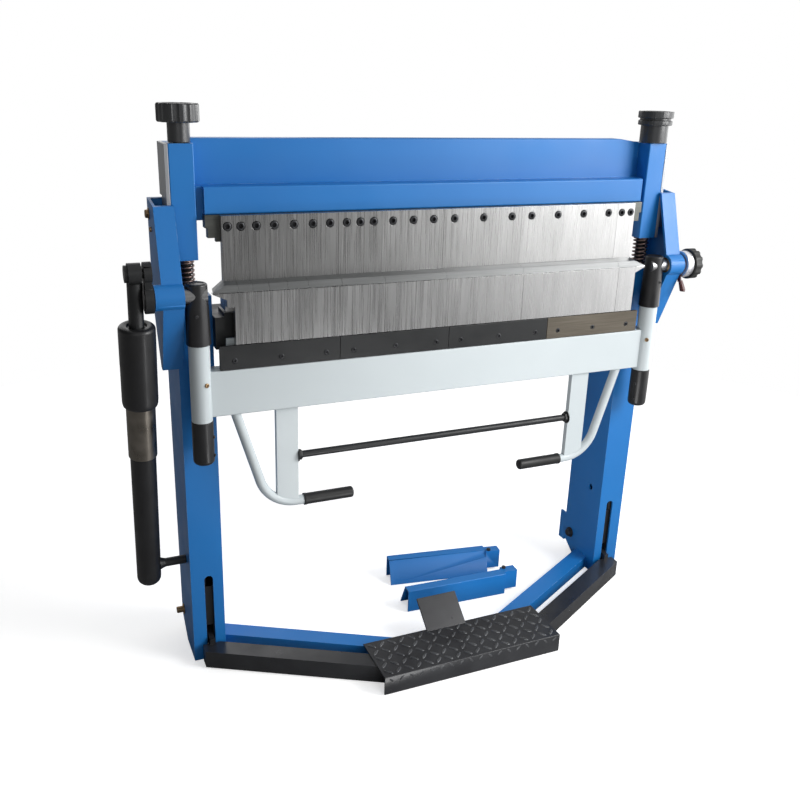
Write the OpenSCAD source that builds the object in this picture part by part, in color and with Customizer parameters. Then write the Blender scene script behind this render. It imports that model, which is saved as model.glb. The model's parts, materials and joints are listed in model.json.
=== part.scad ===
// Foot-operated box and pan folding brake, 1020 mm working length.
// X runs along the bend line, +X to the operator's right. Y runs away from the operator. Z is up.
// The origin is the centre of the base bar's underside.

/* [Tooling] */
// Working length of the folding tools
work_len = 1020; // [1000:5:1020]
// Distance of the bend line in front of the origin plane
axis_y = 110; // [108:1:112]
// Height of the bend line above the floor
axis_z = 900; // [895:5:905]
// Thickness of the finger bodies
finger_t = 13; // [11:1:15]
// Reach of the corner horns beyond the tooling
horn = 28; // [22:1:29]

/* [Columns] */
// Centre of each column from the middle of the machine
column_x = 567.5; // [565:0.5:570]
// Width of each column
column_w = 75; // [70:1:76]
// Depth of each column
column_d = 150; // [140:1:160]
// Height of each column
column_h = 885; // [870:5:890]
// Wall of the column tubes
wall = 5; // [3:0.5:6]

/* [Clamping beam] */
// Height of the top of the beam
beam_top = 1190; // [1180:5:1200]
// Height of the underside of the end boxes
box_foot = 960; // [955:5:965]
// Radius of the pull rods
rod_r = 11; // [9:1:12]

/* [Folding apron] */
// Height of the underside of the apron
apron_foot = 636; // [620:2:650]
// Height of the top edge of the apron box
apron_top = 736; // [730:2:738]
// Radius of the handle tubes
handle_r = 11; // [9:0.5:12]
// Radius of the pivot shafts
shaft_r = 15; // [12:1:16]

/* [Pedal] */
// Half width of the tread plate
tread_x = 232; // [200:2:236]
// Height of the tread's top face, pressed down
tread_z = 49; // [48:0.5:50]

/* [Counterbalance] */
// Distance of the spring canister from the middle of the machine
spring_x = 690; // [688:0.5:692]

/* [Hidden] */
$fn = 48;
fit = 0.05;
gap = 0.3;

// Positions shared by several pieces
half = work_len / 2;
column_in = column_x - column_w / 2;
column_out = column_x + column_w / 2;
column_front = 165;
column_back = column_front + column_d;
rod_x = 577;
rod_y = 186;
box_x = 578;
box_w = 50;
box_d = 80;
lip_z = 1052;
shelf_z = 1107;
finger_front = 140;
holder_y = finger_front + finger_t;
bolt_z = 1030;
bed_y = 129;
bed_z = axis_z - gap;
plate_out = 611;
arm_x = 570;
arm_y = 117;
wing_x = 634;
wing_out = 640;
wing_in = 598;
boss_left = 655;
boss_right = 641;
pedal_pivot = [286, 70];
lever_x = 564;
link_pin = [205, 47];
base_h = 34;
stub_pin = [215, 250];
crank_pin = [105, 952];
lean = atan((stub_pin[0] - crank_pin[0]) / (crank_pin[1] - stub_pin[1]));
stroke_len = norm(stub_pin - crank_pin);

// Tool widths from left to right, with the number of bolts in each finger
widths = [25, 30, 35, 40, 45, 75, 100, 150, 200, 270, work_len - 970];
bolts = [1, 1, 1, 1, 1, 2, 3, 3, 3, 4, 2];
bolt_pitch = [0, 0, 0, 0, 0, 38, 31, 49, 74, 72, 26];
function start_of(i) = i == 0 ? -half : start_of(i - 1) + widths[i - 1];
function bolt_x(i, k) = start_of(i) + widths[i] / 2 + (k - (bolts[i] - 1) / 2) * bolt_pitch[i];

FINGERS = [for (i = [0 : len(widths) - 1]) str("finger_", i + 1)];

// ---- helpers ----

// A piece built for the right-hand side and its mirror image on the left
module pair() {
    children();
    mirror([1, 0, 0]) children();
}

// A box from its lowest to its highest corner
module block(low, high) {
    translate(low) cube(high - low);
}

// A cylinder along X from x0 to x1, centred on y and z
module rod_along_x(x0, x1, y, z, r) {
    translate([x0, y, z]) rotate([0, 90, 0]) cylinder(r = r, h = x1 - x0);
}

// A cylinder along Y from y0 to y1
module rod_along_y(x, y0, y1, z, r) {
    translate([x, y1, z]) rotate([90, 0, 0]) cylinder(r = r, h = y1 - y0);
}

// An outline in Y and Z, extruded from x0 to x1
module slab(x0, x1, outline) {
    translate([x0, 0, 0]) rotate([90, 0, 90]) linear_extrude(x1 - x0) polygon(outline);
}

// A round wire wound into a coil of radius r from z = 0 to z = h
module coil(r, wire, h, turns) {
    sides = 6;
    steps = 12;
    count = turns * steps;
    points = [for (i = [0 : count]) for (k = [0 : sides - 1])
        let (t = 360 * i / steps, u = 360 * k / sides, q = r + wire * cos(u))
        [q * cos(t), q * sin(t), wire + (h - 2 * wire) * i / count + wire * sin(u)]];
    skin = [for (i = [0 : count - 1]) for (k = [0 : sides - 1])
        let (n = (k + 1) % sides)
        [i * sides + k, (i + 1) * sides + k, (i + 1) * sides + n, i * sides + n]];
    first = [for (k = [0 : sides - 1]) k];
    last = [for (k = [sides - 1 : -1 : 0]) count * sides + k];
    polyhedron(points, concat(skin, [first, last]));
}

// ---- columns and base ----

slot_top = 223;
slot_foot = 20;
slot_w = 20;

module column_body() {
    difference() {
        block([column_in, column_front, 0], [column_out, column_back, column_h]);
        block([column_in + wall, column_front + wall, -1],
              [column_out - wall, column_back - wall, column_h - 8]);
        // slot for the pedal lever
        block([lever_x - slot_w / 2, column_front - 1, slot_foot],
              [lever_x + slot_w / 2, column_front + wall + 1, slot_top - slot_w / 2]);
        rod_along_y(lever_x, column_front - 1, column_front + wall + 1, slot_top - slot_w / 2, slot_w / 2);
        // bore for the pull rod in the head plate
        translate([rod_x, rod_y, column_h - 9]) cylinder(r = rod_r + fit, h = 10);
        // counterbalance pin hole and pedal pivot hole
        rod_along_x(column_in - 1, column_out + 1, stub_pin[0], stub_pin[1], 9);
        rod_along_x(column_in - 1, column_out + 1, pedal_pivot[0], pedal_pivot[1], 8);
        // bevelled heel
        slab(column_in - 1, column_out + 1,
             [[column_back - 60, -1], [column_back + 1, -1], [column_back + 1, 46]]);
    }
    // bracket for the rear foot
    difference() {
        block([column_in, column_back, 31], [column_in + 45, column_back + 26, 118]);
        block([column_in + 6, column_back + 6, 30], [column_in + 46, column_back + 27, 119]);
    }
}

module column_left() {
    color("dodgerblue") mirror([1, 0, 0]) column_body();
}

module column_right() {
    color("dodgerblue") column_body();
}

bar_half = 22.5;
bar_knee = 121;
bar_slope = 0.55;

// Plan outline of one oblique base bar, o is half its width
function side_bar_plan(o, x_end) =
    let (run = sqrt(1 + bar_slope * bar_slope), tilt = atan(bar_slope), shift = o * tan(tilt / 2))
    [[bar_knee + shift, -o], [x_end, bar_slope * (x_end - bar_knee) - o * run],
     [x_end, bar_slope * (x_end - bar_knee) + o * run], [bar_knee - shift, o]];

module base_bar_sides() {
    color("dodgerblue") pair() difference() {
        linear_extrude(base_h) polygon(side_bar_plan(bar_half, column_in));
        translate([0, 0, 4]) linear_extrude(base_h - 8)
            polygon(side_bar_plan(bar_half - 4, column_in + 2));
        // the bore of the tube runs out through the mitred end
        translate([bar_knee - 12, -15, 4]) cube([24, 30, base_h - 8]);
    }
}

module base_bar_middle() {
    shift = bar_half * tan(atan(bar_slope) / 2);
    plan = [[-bar_knee - shift, -bar_half], [bar_knee + shift, -bar_half],
            [bar_knee - shift, bar_half], [-bar_knee + shift, bar_half]];
    color("dodgerblue") difference() {
        linear_extrude(base_h) polygon(plan);
        block([-200, 4 - bar_half, 4], [200, bar_half - 4, base_h - 4]);
    }
}

// ---- side brackets that carry the apron's pivots ----

wing_front = 96;
boss_r = 26;
wing_plan = [[155, 1071], [230, 1081], [230, 860], [170, 738], [155, 735],
             [wing_front, 882], [wing_front, 890]];

module wing_body(boss_end) {
    difference() {
        union() {
            slab(wing_x, wing_out, wing_plan);
            // folded front and rear flanges, open at the top, the front one reaching over the column
            difference() {
                slab(wing_in, wing_x, wing_plan);
                intersection() {
                    translate([0, 7, 0]) slab(wing_in - 1, wing_x + 1, wing_plan);
                    translate([0, -7, 0]) slab(wing_in - 1, wing_x + 1, wing_plan);
                }
                block([wing_in - 1, 163, 1062], [wing_x + 1, 222, 1090]);
                block([wing_in - 1, 163, 700], [column_out, 240, 1090]);
            }
            rod_along_x(wing_in, boss_end, axis_y, axis_z, boss_r);
        }
        rod_along_x(wing_in - 1, boss_end + 1, axis_y, axis_z, shaft_r + 4);
        // bolt hole of the guide block
        rod_along_x(wing_x - 1, wing_out + 1, 214, 1050, 6 + fit);
    }
}

module wing_left() {
    color("dodgerblue") mirror([1, 0, 0]) wing_body(boss_left);
}

module wing_right() {
    color("dodgerblue") wing_body(boss_right);
}

module bush(boss_end) {
    difference() {
        rod_along_x(wing_in + 1, boss_end, axis_y, axis_z, shaft_r + 4);
        rod_along_x(wing_in, boss_end + 1, axis_y, axis_z, shaft_r + fit);
    }
}

module pivot_bushes() {
    color("goldenrod") {
        bush(boss_right);
        mirror([1, 0, 0]) bush(boss_left);
    }
}

module guide_blocks() {
    color("gray") pair() difference() {
        block([plate_out + 0.5, 170, 985], [wing_x, 222, 1060]);
        rod_along_x(rod_x, wing_x + 1, 214, 1050, 6 + fit);
    }
}

// ---- bed ----

module bed_beam() {
    color("dodgerblue") difference() {
        block([-482, bed_y + 11, 790], [482, 300, 858]);
        block([-483, bed_y + 19, 798], [483, 292, 850]);
    }
}

module bed_die() {
    color("silver") difference() {
        block([-half, bed_y, 858], [half, 175, bed_z]);
        // relief behind the bending edge
        slab(-half - 1, half + 1, [[175.1, 880], [175.1, bed_z + 1], [165, bed_z + 1], [165, 890]]);
    }
}

module bed_brackets() {
    color("dimgray") pair() union() {
        block([482, bed_y + 11, 790], [column_in, 260, 843]);
        block([482, bed_y + 11, 843], [510, 200, 852]);
        block([500, bed_y + 11, 774], [column_in, 240, 790]);
    }
}

// Zinc-plated hardware fixed to the frame: guide block bolts and pedal pivot pins
module frame_bolts() {
    color("peru") pair() {
        rod_along_x(plate_out + 4, wing_out, 214, 1050, 6);
        rod_along_x(wing_out, wing_out + 6, 214, 1050, 10);
    }
    color("peru") pair() {
        rod_along_x(column_in - 6, column_out + 18, pedal_pivot[0], pedal_pivot[1], 8 - fit);
        rod_along_x(column_in - 12, column_in - 6, pedal_pivot[0], pedal_pivot[1], 13);
    }
}

// ---- detached feet lying on the floor ----

// A folded channel, open at its foot and left end, with one upright and one sloping wall. A tongue
// with a bolt stands out of its right end.
foot_h = 62;
foot_w = 57;

module foot_channel(length) {
    difference() {
        slab(0, length, [[0, 0], [0, foot_h], [27, foot_h], [foot_w, 0]]);
        slab(-1, length - 4, [[4, -1], [4, foot_h - 4], [24.5, foot_h - 4], [53.1, -1]]);
    }
    block([length - 1, 10, 8], [length + 40, 36, foot_h]);
    translate([length + 8, 30, foot_h - 1]) cylinder(r = 5.5, h = 6);
}

// The two feet are mirror images of each other
module foot_channel_rear() {
    color("dodgerblue") translate([-37.4, 304.3, 0]) rotate([0, 0, -8.5])
        translate([0, foot_w, 0]) mirror([0, 1, 0]) foot_channel(284);
}

module foot_channel_front() {
    color("dodgerblue") translate([-46, 171, 0]) rotate([0, 0, -2.5]) foot_channel(284);
}

// ---- clamping beam ----

lip_half = 538;

module upper_beam() {
    web_y = 205;
    web_top = beam_top + 8;
    top_in = box_x - box_w / 2;
    bevel = 58;
    color("dodgerblue") union() {
        // lower lip
        difference() {
            block([-lip_half, 158, lip_z], [lip_half, web_y, shelf_z]);
            block([-lip_half - 1, 164, lip_z + 8], [lip_half + 1, web_y - 6, shelf_z - 6]);
        }
        // web with a bevelled upper corner at the right, top flange and rear flange
        translate([0, web_y + 8, 0]) rotate([90, 0, 0]) linear_extrude(8)
            polygon([[-top_in, lip_z], [top_in, lip_z], [top_in, beam_top], [top_in - bevel, web_top],
                     [-top_in, web_top]]);
        block([-top_in, web_y + 7, web_top - 8], [top_in - bevel, 245, web_top]);
        block([-top_in, web_y + 7, lip_z], [top_in, 245, lip_z + 8]);
        // brackets that join the lip to the end boxes
        pair() block([lip_half - 12, 176, lip_z - 13], [top_in, web_y + 1, shelf_z]);
    }
}

module end_box() {
    x0 = box_x - box_w / 2;
    x1 = box_x + box_w / 2;
    difference() {
        block([x0, column_front, box_foot], [x1, column_front + box_d, beam_top]);
        block([x0 + 5, column_front + 5, box_foot + 8], [x1 - 5, column_front + box_d - 5, beam_top - 8]);
        translate([rod_x, rod_y, box_foot - 1]) cylinder(r = rod_r + fit, h = beam_top - box_foot + 2);
    }
}

// Ground steel plates that slide between the guide blocks
module slide_plates() {
    inner = box_x + box_w / 2;
    color("gray") pair() union() {
        block([inner, column_front, box_foot], [plate_out, 220, beam_top]);
        block([inner, column_front, 1085], [plate_out, column_front + box_d, beam_top]);
    }
}

module end_boxes() {
    color("dodgerblue") pair() end_box();
}

module finger_holder() {
    color("gray") difference() {
        union() {
            block([-540, holder_y, 1026], [540, 175, lip_z]);
            block([-535, holder_y, 1006], [535, 170, 1026]);
            block([-519, holder_y, 998], [519, 165, 1006]);
        }
        for (i = [0 : len(widths) - 1], k = [0 : bolts[i] - 1])
            rod_along_y(bolt_x(i, k), holder_y - 1, holder_y + 17, bolt_z, 6);
    }
}

toe_tip = [axis_y + 0.4, axis_z + 0.6];
toe_ridge = [axis_y + 8.5, axis_z + 14.4];
toe_top = axis_z + 19.3;
finger_profile = [toe_tip, [holder_y, toe_tip[1]], [holder_y, lip_z - gap],
                  [finger_front, lip_z - gap], [finger_front, toe_top], toe_ridge];

// Horn beyond the right-hand end of the fingers: the toe's section runs out to a thin corner
module finger_horn(reach) {
    hull() {
        slab(half - 1, half, [toe_tip, [holder_y, toe_tip[1]], [holder_y, toe_top],
                              [finger_front, toe_top], toe_ridge]);
        translate([half + reach - 1, toe_tip[0], toe_tip[1]]) cube([1, 1, 1.5]);
        translate([half + reach - 8, holder_y - 1, toe_tip[1]]) cube([1, 1, 1.5]);
    }
}

module finger(i) {
    x0 = start_of(i) + (i == 0 ? 0 : gap / 2);
    x1 = start_of(i) + widths[i] - (i == len(widths) - 1 ? 0 : gap / 2);
    color("silver") difference() {
        union() {
            slab(x0, x1, finger_profile);
            if (i == 0) mirror([1, 0, 0]) finger_horn(horn);
            if (i == len(widths) - 1) finger_horn(horn);
        }
        for (k = [0 : bolts[i] - 1]) {
            rod_along_y(bolt_x(i, k), finger_front - 1, holder_y + 1, bolt_z, 6);
            rod_along_y(bolt_x(i, k), finger_front - 1, finger_front + 9, bolt_z, 9.5);
        }
    }
}

module finger_bolts() {
    color("black") for (i = [0 : len(widths) - 1], k = [0 : bolts[i] - 1]) difference() {
        union() {
            rod_along_y(bolt_x(i, k), finger_front - 1, finger_front + 9, bolt_z, 9);
            rod_along_y(bolt_x(i, k), finger_front + 8, holder_y + 16, bolt_z, 5.9);
        }
        translate([bolt_x(i, k), finger_front + 4, bolt_z]) rotate([90, 0, 0])
            cylinder(r = 4.6, h = 6, $fn = 6);
    }
}

// Pull rods from the knobs down to the pedal levers, each ending in a fork with slotted eyes
module pull_rods() {
    fork = [lever_x - 13.5, lever_x + 7.5];
    front = rod_y - 12;
    rear = link_pin[0] + 14;
    color("dimgray") pair() {
        translate([rod_x, rod_y, 180]) cylinder(r = rod_r, h = beam_top + 1 - 180);
        block([fork[0], front, 86], [rod_x + 11, rear, 190]);
        for (x = fork) difference() {
            block([x, front, 30], [x + 6, rear, 88]);
            rod_along_x(x - 1, x + 7, link_pin[0], link_pin[1], 7);
            block([x - 1, link_pin[0] - 16, link_pin[1] - 7], [x + 7, link_pin[0], link_pin[1] + 7]);
        }
    }
}

knob_r = 42;
knob_top = 1265;

module knob_left() {
    color("dimgray") translate([-rod_x, rod_y, 0]) {
        translate([0, 0, beam_top + 1.3]) cylinder(r = 22, h = 38);
        difference() {
            translate([0, 0, 1229]) cylinder(r = knob_r, h = knob_top - 1229);
            for (a = [0 : 30 : 330]) rotate([0, 0, a])
                translate([knob_r + 5, 0, 1228]) cylinder(r = 7, h = 40);
        }
    }
}

module knob_right() {
    color("dimgray") translate([rod_x, rod_y, 0]) {
        translate([0, 0, beam_top + 1.3]) cylinder(r = 33, h = 42);
        translate([0, 0, 1232]) cylinder(r = 40, h = 12);
        translate([0, 0, 1243]) cylinder(r = 37, h = 6);
        translate([0, 0, 1248]) cylinder(r = knob_r, h = knob_top - 1248);
    }
}

module return_springs() {
    color("rosybrown") pair() translate([rod_x, rod_y, column_h]) coil(16.5, 2.4, box_foot - column_h, 9);
}

// ---- folding apron ----

module apron_beam() {
    back = 150;
    color("gainsboro") difference() {
        union() {
            block([-arm_x, 108, apron_foot], [arm_x, back, apron_top]);
            block([-half, 116, apron_top], [half, 136, 771]);
            block([-half, 128, 771], [half, 136, 800]);
        }
        block([-arm_x - 1, 114, apron_foot + 6], [arm_x + 1, back - 6, apron_top - 6]);
        pair() translate([arm_x, arm_y, apron_foot - 10]) cylinder(r = 22, h = 200);
        pair() block([arm_x, 100, apron_foot - 1], [arm_x + 30, back + 1, apron_top + 1]);
        for (x = clamp_screw_x) rod_along_y(x, 115, 131, clamp_screw_z, 4);
    }
}

module end_tubes() {
    color("gainsboro") pair() difference() {
        translate([arm_x, arm_y, 628]) cylinder(r = 22, h = 168);
        rod_along_y(arm_x - 9, arm_y - 23, arm_y - 10, 712, 4);
    }
}

module knuckle() {
    color("dimgray") difference() {
        union() {
            translate([arm_x, arm_y, 796]) cylinder(r1 = 25.5, r2 = 22.5, h = 124);
            translate([arm_x, arm_y, 920]) cylinder(r1 = 22.5, r2 = 19.5, h = 4);
        }
        rod_along_x(arm_x - 20, arm_x + 40, axis_y, axis_z, shaft_r);
        rod_along_y(arm_x + 6, arm_y - 29, arm_y - 18, 860, 3);
    }
}

module knuckle_left() {
    mirror([1, 0, 0]) knuckle();
}

module knuckle_right() {
    knuckle();
}

// Threaded height adjusters below the end tubes
module lower_sleeves() {
    color("dimgray") pair() difference() {
        union() {
            translate([arm_x, arm_y, 537]) cylinder(r = 23, h = 91);
            translate([arm_x, arm_y, 531]) cylinder(r1 = 19, r2 = 23, h = 6);
        }
        for (z = [550, 592]) rod_along_x(arm_x - 30, arm_x - 16, arm_y, z, 3);
    }
}

clamp_len = 265;
clamp_screw_z = 756;
clamp_screw_x = [for (b = [-1.5 : 1 : 1.5], s = [-0.38, 0, 0.38]) (b + s) * clamp_len];

// Socket screws of the clamp bars, the end tubes and the height adjusters
module apron_screws() {
    color("darkkhaki") {
        for (x = clamp_screw_x) {
            rod_along_y(x, 107.4, 113, clamp_screw_z, 6);
            rod_along_y(x, 112, 130, clamp_screw_z, 3.9);
        }
        pair() rod_along_y(arm_x - 9, arm_y - 25, arm_y - 10.1, 712, 3.9);
        pair() for (z = [550, 592]) rod_along_x(arm_x - 27, arm_x - 16.1, arm_y, z, 2.9);
    }
}

module clamp_bars() {
    color("black") for (b = [-2 : 1]) difference() {
        block([b * clamp_len + 0.4, 108, apron_top + 1], [(b + 1) * clamp_len - 0.4, 115.9, 789]);
        for (x = clamp_screw_x) rod_along_y(x, 107, 113, clamp_screw_z, 6.2);
        for (x = clamp_screw_x) rod_along_y(x, 112, 117, clamp_screw_z, 4);
    }
}

blade_front = axis_y;
blade_back = 128;
blade_foot = 772;
blade_profile = [[blade_front, bed_z], [blade_front, 790], [116, 790], [116, blade_foot],
                 [blade_back, blade_foot], [blade_back, bed_z]];

// Undercut horn beyond the right-hand end of the blades
module blade_horn(reach) {
    translate([0, blade_back, 0]) rotate([90, 0, 0]) linear_extrude(blade_back - blade_front)
        polygon([[half - 1, bed_z], [half + reach, bed_z], [half + reach, bed_z - 1],
                 [half, bed_z - 14], [half - 1, bed_z - 14]]);
}

// Folding blades in the finger widths. The two narrowest are one corner segment with an undercut end.
module bending_blades() {
    last = len(widths) - 1;
    color("silver") for (i = [1 : last]) {
        x0 = i == 1 ? -half : start_of(i) + gap / 2;
        x1 = start_of(i) + widths[i] - (i == last ? 0 : gap / 2);
        difference() {
            union() {
                slab(x0, x1, blade_profile);
                if (i == 1) mirror([1, 0, 0]) blade_horn(horn);
                if (i == last) blade_horn(horn);
            }
            if (i == 1) block([-half - 1, 100, blade_foot - 1], [-half + 16, 130, 870]);
        }
    }
}

handle_y = 125;
grip_z = 403;
bend_r = 87;
// Lean of the handle's straight upper run from the vertical
handle_lean = 16.6;

// Tube of radius r from the apron, round its elbow to the grip's far end. The straight runs reach a
// little way into the elbow, which is a hair thicker where the tube was bent.
module handle_run(r) {
    turn = 90 - handle_lean;
    lap = 2;
    elbow = [363, handle_y, grip_z + bend_r];
    top_len = (apron_foot - grip_z - bend_r * (1 - sin(handle_lean))) / cos(handle_lean);
    rod_along_x(230, elbow[0] + lap, handle_y, grip_z, r);
    translate(elbow) rotate([90, 0, 0]) rotate([0, 0, -90])
        rotate_extrude(angle = turn) translate([bend_r, 0]) circle(r = r + 0.1);
    translate(elbow + bend_r * [cos(handle_lean), 0, -sin(handle_lean)])
        rotate([0, handle_lean, 0]) translate([0, 0, -lap]) cylinder(r = r, h = top_len + 10 + lap);
}

module handle() {
    color("gainsboro") difference() {
        handle_run(handle_r);
        block([200, 100, apron_foot], [700, 150, apron_foot + 60]);
    }
}

module handle_left() {
    mirror([1, 0, 0]) handle();
}

module handle_right() {
    handle();
}

module grips() {
    color("black") pair() difference() {
        rod_along_x(225, 346, handle_y, grip_z, 14);
        rod_along_x(229.9, 347, handle_y, grip_z, handle_r);
    }
}

leg_in = 359;
leg_out = 409;
rod_level = 516;

module truss_legs() {
    color("gainsboro") pair() difference() {
        block([leg_in, handle_y - 7, grip_z], [leg_out, handle_y + 7, apron_foot]);
        handle_run(handle_r + 0.1);
        // the leg stands on the tube, nothing of it hangs below
        block([leg_in - 1, handle_y - 8, grip_z - 1], [leg_out + 1, handle_y + 8, grip_z + 5]);
    }
}

module truss_rod() {
    color("dimgray") union() {
        rod_along_x(-leg_in, leg_in, handle_y, rod_level, 8);
        pair() rod_along_x(leg_in - 8, leg_in, handle_y, rod_level, 11);
    }
}

// Left shaft reaches through its wing to the crank, right shaft to the angle stop
module pivot_shafts() {
    color("silver") {
        rod_along_x(-674.2, -arm_x + 19, axis_y, axis_z, shaft_r);
        rod_along_x(arm_x - 19, 681, axis_y, axis_z, shaft_r);
    }
}

pin_r = 10;

module crank_arm() {
    reach = norm(crank_pin - [axis_y, axis_z]);
    tilt = atan((axis_y - crank_pin[0]) / (crank_pin[1] - axis_z));
    color("dimgray") difference() {
        union() {
            rod_along_x(-673.6, -657, axis_y, axis_z, 30);
            rod_along_x(-673.2, -658, crank_pin[0], crank_pin[1], 22);
            translate([-672.8, axis_y, axis_z]) rotate([tilt, 0, 0]) block([0, -17, 4], [13, 17, reach]);
            rod_along_x(-704, -668, crank_pin[0], crank_pin[1], pin_r);
            rod_along_x(-709, -703, crank_pin[0], crank_pin[1], 17);
        }
        rod_along_x(-676, -656, axis_y, axis_z, shaft_r);
    }
}

// ---- counterbalance ----

// Places a piece on the canister's axis, measured downwards from the crank pin as -Z
module on_spring_axis() {
    translate([-spring_x, crank_pin[0], crank_pin[1]]) rotate([lean, 0, 0]) children();
}

cover_top = -108;
cover_foot = -288;
tube_foot = -410;
base_foot = -756;
piston = -370;

module spring_rod() {
    color("dimgray") on_spring_axis() difference() {
        union() {
            rotate([0, 90, 0]) cylinder(r = 21, h = 25, center = true);
            translate([0, 0, piston]) cylinder(r = 15, h = -piston - 18.5);
            translate([0, 0, piston - 15]) cylinder(r = 24, h = 16);
        }
        rotate([0, 90, 0]) cylinder(r = pin_r + fit, h = 40, center = true);
    }
}

module spring_cover() {
    color("black") on_spring_axis() difference() {
        union() {
            translate([0, 0, cover_foot]) cylinder(r = 37, h = cover_top - cover_foot - 6);
            translate([0, 0, cover_top - 6]) cylinder(r1 = 37, r2 = 32, h = 6);
        }
        translate([0, 0, cover_foot - 1]) cylinder(r = 30, h = cover_top - cover_foot - 9);
        translate([0, 0, cover_top - 20]) cylinder(r = 15 + fit, h = 30);
    }
}

module spring_tube() {
    color("dimgray") on_spring_axis() difference() {
        translate([0, 0, tube_foot]) cylinder(r = 30, h = cover_top - tube_foot - 11);
        translate([0, 0, tube_foot - 1]) cylinder(r = 27, h = cover_top - tube_foot - 9);
    }
}

module spring_base() {
    end_z = -stroke_len;
    color("black") {
        on_spring_axis() difference() {
            union() {
                translate([0, 0, base_foot + 12]) cylinder(r = 27, h = tube_foot + 23 - base_foot - 12);
                translate([0, 0, base_foot]) cylinder(r1 = 18, r2 = 27, h = 12);
            }
            translate([0, 0, -620]) cylinder(r = 24.5, h = 300);
        }
        // pin that meets the column
        on_spring_axis() translate([26, 0, end_z]) rotate([0, 90, 0]) {
            cylinder(r = 10, h = spring_x - column_out - 26 - 0.5);
            cylinder(r1 = 15, r2 = 10, h = 12);
        }
    }
}

module inner_spring() {
    color("gray") on_spring_axis() translate([0, 0, piston + 2]) coil(20.5, 2.5, cover_top - piston - 14, 14);
}

// ---- angle stop ----

ring_end = boss_right + 23;

module angle_ring() {
    color("white") difference() {
        rod_along_x(boss_right + 4, ring_end, axis_y, axis_z, 33);
        rod_along_x(boss_right, ring_end + 1, axis_y, axis_z, shaft_r + fit);
    }
}

module stop_knob() {
    color("black") difference() {
        rod_along_x(ring_end + 0.5, ring_end + 25, axis_y, axis_z, 38);
        rod_along_x(ring_end, ring_end + 18, axis_y, axis_z, shaft_r + fit);
        for (a = [0 : 30 : 330]) translate([ring_end + 6, axis_y, axis_z]) rotate([a, 0, 0])
            translate([0, 42, 0]) rotate([0, 90, 0]) cylinder(r = 5.5, h = 30);
    }
}

module lock_lever() {
    color("maroon") difference() {
        union() {
            rod_along_x(boss_right + 0.4, boss_right + 3.6, axis_y, axis_z, 24);
            translate([boss_right, axis_y, axis_z]) rotate([-14, 0, 0]) {
                block([0.8, -6, -44], [3.2, 6, -19]);
                hull() {
                    translate([5.6, 0, -43]) rotate([0, 14, 0]) cylinder(r = 5, h = 4, center = true);
                    translate([11, 0, -66]) rotate([0, 14, 0]) cylinder(r = 6.5, h = 6, center = true);
                }
            }
        }
        rod_along_x(boss_right - 1, boss_right + 5, axis_y, axis_z, shaft_r + fit);
    }
}

// ---- pedal ----

frame_top = tread_z - 4;
frame_foot = 2;
arm_slope = 0.547;
arm_front = [555, 112];
arm_rear = [534, 152];
arm_end = 157;
cross_front = -104;
cross_rear = -60;

// Where the sloping line through p reaches the given y
function x_on(p, y) = p[0] + (y - p[1]) / arm_slope;

// Right half of the pedal frame's plan, t is the inset of the tube's wall
function arm_plan(t) =
    let (run = t * sqrt(1 + arm_slope * arm_slope), f = arm_front + [0, run], b = arm_rear - [0, run],
         tip = 586 - t)
    [[0, cross_front + t], [x_on(f, cross_front + t), cross_front + t],
     [tip, f[1] + arm_slope * (tip - f[0])], [tip, arm_end + (t > 0 ? 1 : 0)],
     [x_on(b, arm_end + (t > 0 ? 1 : 0)), arm_end + (t > 0 ? 1 : 0)],
     [x_on(b, cross_rear - t), cross_rear - t], [0, cross_rear - t]];

// Square-tube frame of the pedal with the flat levers that reach through the column slots
module pedal_frame() {
    lever = [[152, 22], [arm_end, 22], [pedal_pivot[0], pedal_pivot[1] - 15],
             [pedal_pivot[0], pedal_pivot[1] + 15], [arm_end, frame_top + 14], [152, frame_top + 14]];
    color("black") pair() {
        difference() {
            translate([0, 0, frame_foot]) linear_extrude(frame_top - frame_foot) polygon(arm_plan(0));
            translate([0, 0, frame_foot + 4]) linear_extrude(frame_top - frame_foot - 8) polygon(arm_plan(4));
        }
        difference() {
            union() {
                slab(lever_x - 6, lever_x + 6, lever);
                rod_along_x(lever_x - 6, lever_x + 6, pedal_pivot[0], pedal_pivot[1], 15);
                rod_along_x(lever_x - 16, lever_x + 17, link_pin[0], link_pin[1], 5);
            }
            rod_along_x(lever_x - 7, lever_x + 7, pedal_pivot[0], pedal_pivot[1], 8);
        }
    }
}

tread_front = -115;
tread_rear = 22;

module pedal_tread() {
    color("black") union() {
        block([-tread_x, tread_front, frame_top], [tread_x, tread_rear, tread_z]);
        block([-tread_x, tread_front, frame_foot], [tread_x, tread_front + 4, frame_top + 0.1]);
    }
}

// Toe plate welded to the tread's rear edge and leaning away from the operator
module toe_plate() {
    color("black") difference() {
        translate([0, tread_rear - 4, tread_z]) rotate([-52, 0, 0]) block([-68, -5, -12], [38, 0, 80]);
        block([-200, -100, -20], [200, 100, tread_z]);
    }
}

// ---- the machine ----

column_left();
column_right();
base_bar_sides();
base_bar_middle();
wing_left();
wing_right();
pivot_bushes();
bed_beam();
bed_die();
bed_brackets();
guide_blocks();
frame_bolts();
foot_channel_rear();
foot_channel_front();
upper_beam();
end_boxes();
slide_plates();
finger_holder();
for (i = [0 : len(widths) - 1]) finger(i);
finger_bolts();
pull_rods();
knob_left();
knob_right();
return_springs();
apron_beam();
end_tubes();
knuckle_left();
knuckle_right();
lower_sleeves();
apron_screws();
clamp_bars();
bending_blades();
handle_left();
handle_right();
grips();
truss_legs();
truss_rod();
pivot_shafts();
crank_arm();
spring_rod();
spring_cover();
spring_tube();
spring_base();
inner_spring();
angle_ring();
stop_knob();
lock_lever();
pedal_frame();
pedal_tread();
toe_plate();
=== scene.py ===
"""Foot-operated box and pan folding brake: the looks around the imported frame."""
import json
import math

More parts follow.
